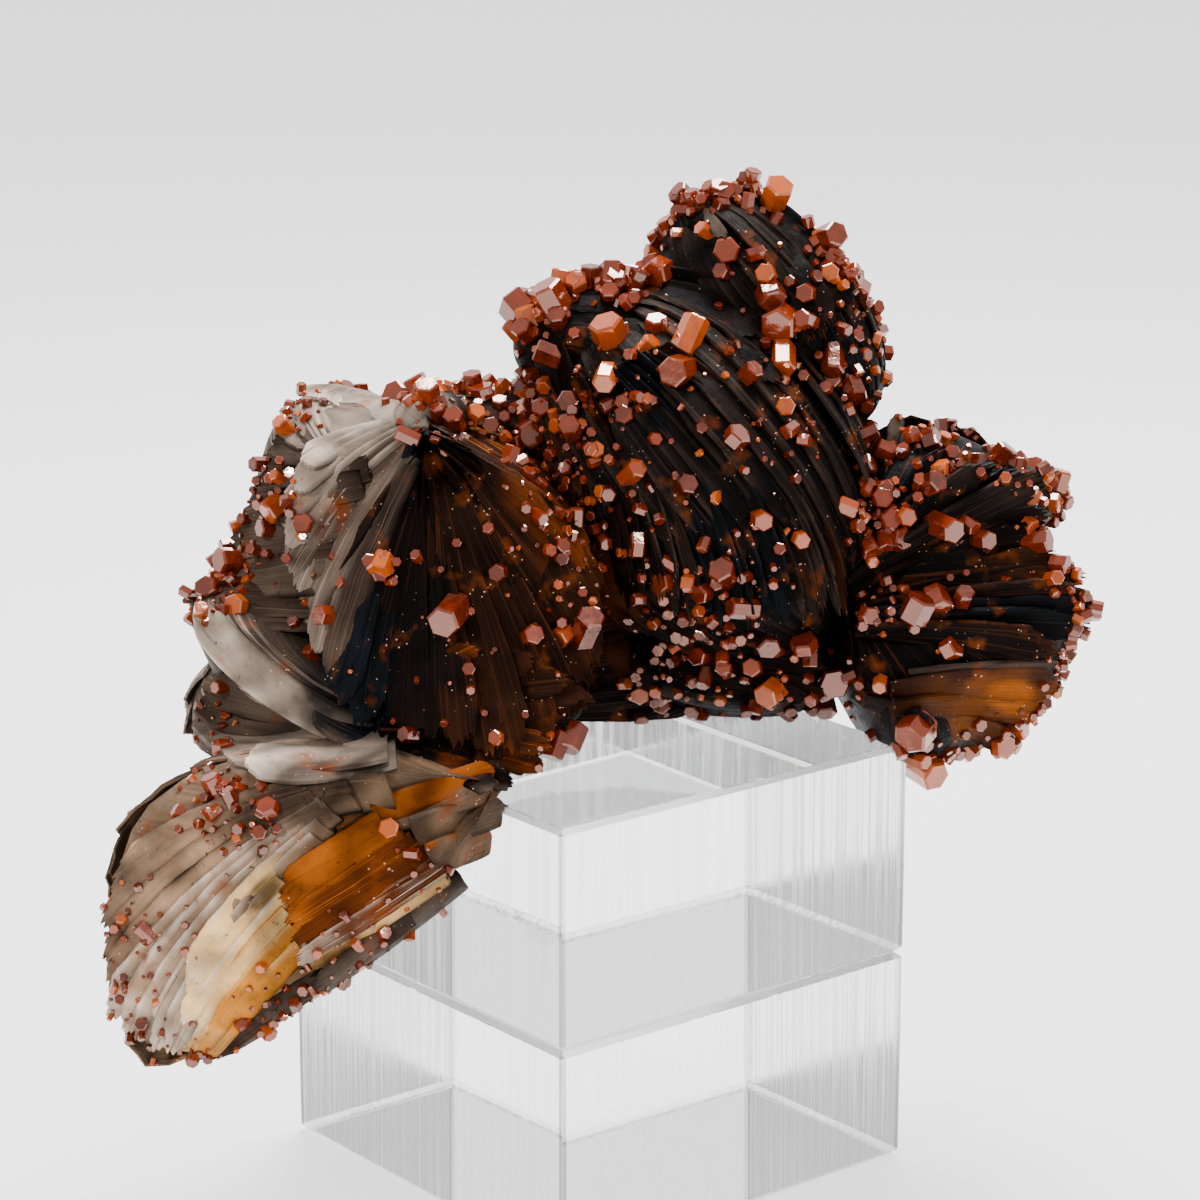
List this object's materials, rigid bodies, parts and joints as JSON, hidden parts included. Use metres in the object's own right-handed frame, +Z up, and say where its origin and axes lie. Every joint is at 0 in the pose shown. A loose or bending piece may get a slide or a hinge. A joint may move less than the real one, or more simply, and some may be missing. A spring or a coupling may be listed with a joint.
{
  "type": "mineral specimen",
  "caption": "Vanadinite crystals on bladed barite rosettes, resting on a stand of stacked clear acrylic blocks.",
  "frame": {"origin": "middle of the lower block's base", "axes": "+Z up, -Y the display side; the blocks are turned 38.95 degrees about Z, so one upright edge is near the front"},
  "size_m": [0.0906, 0.0587, 0.0902],
  "materials": {
    "specimen": "dark brown to grey-white barite blades with orange-red crystals",
    "upper_block": "clear polished acrylic",
    "lower_block": "clear polished acrylic"
  },
  "bodies": {
    "root": {"vanadinite_on_barite": "specimen", "upper_acrylic_block": "upper_block", "lower_acrylic_block": "lower_block"}
  },
  "joints": []
}
